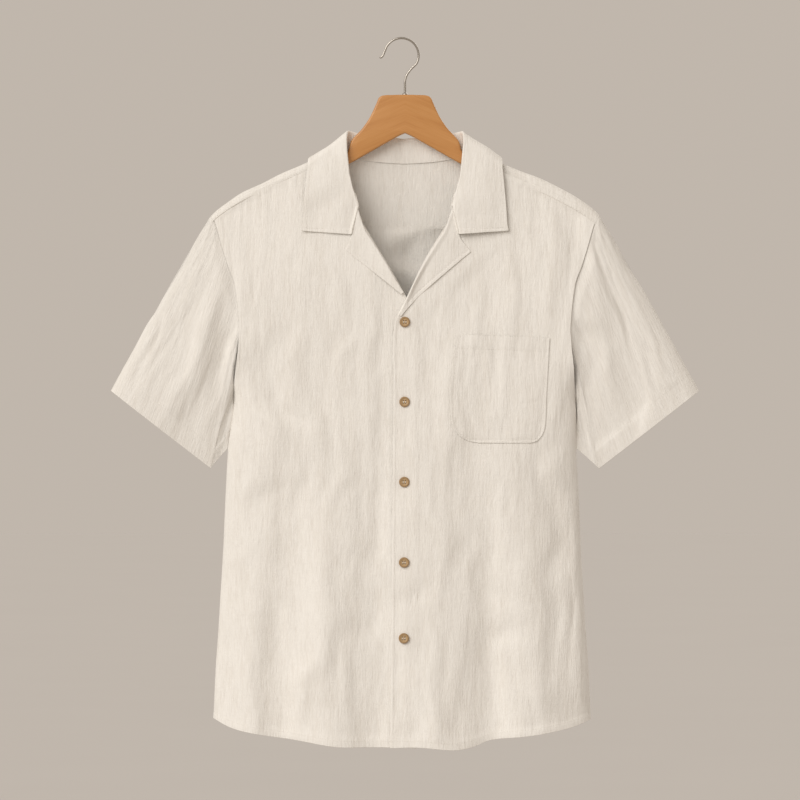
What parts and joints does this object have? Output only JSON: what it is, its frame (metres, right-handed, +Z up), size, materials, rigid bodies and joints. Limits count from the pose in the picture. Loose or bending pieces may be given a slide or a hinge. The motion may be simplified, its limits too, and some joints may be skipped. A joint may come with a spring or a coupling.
{
  "type": "camp shirt on a wooden hanger",
  "caption": "Short-sleeved cotton camp shirt with a notched open collar and a chest patch pocket, buttoned up on a flat wooden hanger with a wire hook.",
  "frame": {"origin": "inside the top of the hook's bend, where a rod carries it, in the hanger's middle plane", "axes": "+Z up along the hanging shirt, the shirt's front faces -Y, +X to the viewer's right in front of it"},
  "size_m": [0.7372, 0.1097, 0.8919],
  "materials": {
    "cotton": "crinkled off-white cotton gauze, matte, with fine upright crinkles",
    "button": "tan, satin, darker at the rim",
    "hanger_wood": "honey-coloured, clear satin lacquer, fine grain along the arms",
    "hook_steel": "satin nickel-plated wire"
  },
  "bodies": {
    "root": {"front_right": "cotton", "front_left": "cotton", "back": "cotton", "yoke": "cotton", "sleeve_right": "cotton", "sleeve_left": "cotton", "collar": "cotton", "lapel_right": "cotton", "lapel_left": "cotton", "pocket": "cotton", "button_1": "button", "button_2": "button", "button_3": "button", "button_4": "button", "button_5": "button", "hanger": "hanger_wood", "hook": "hook_steel"}
  },
  "joints": []
}
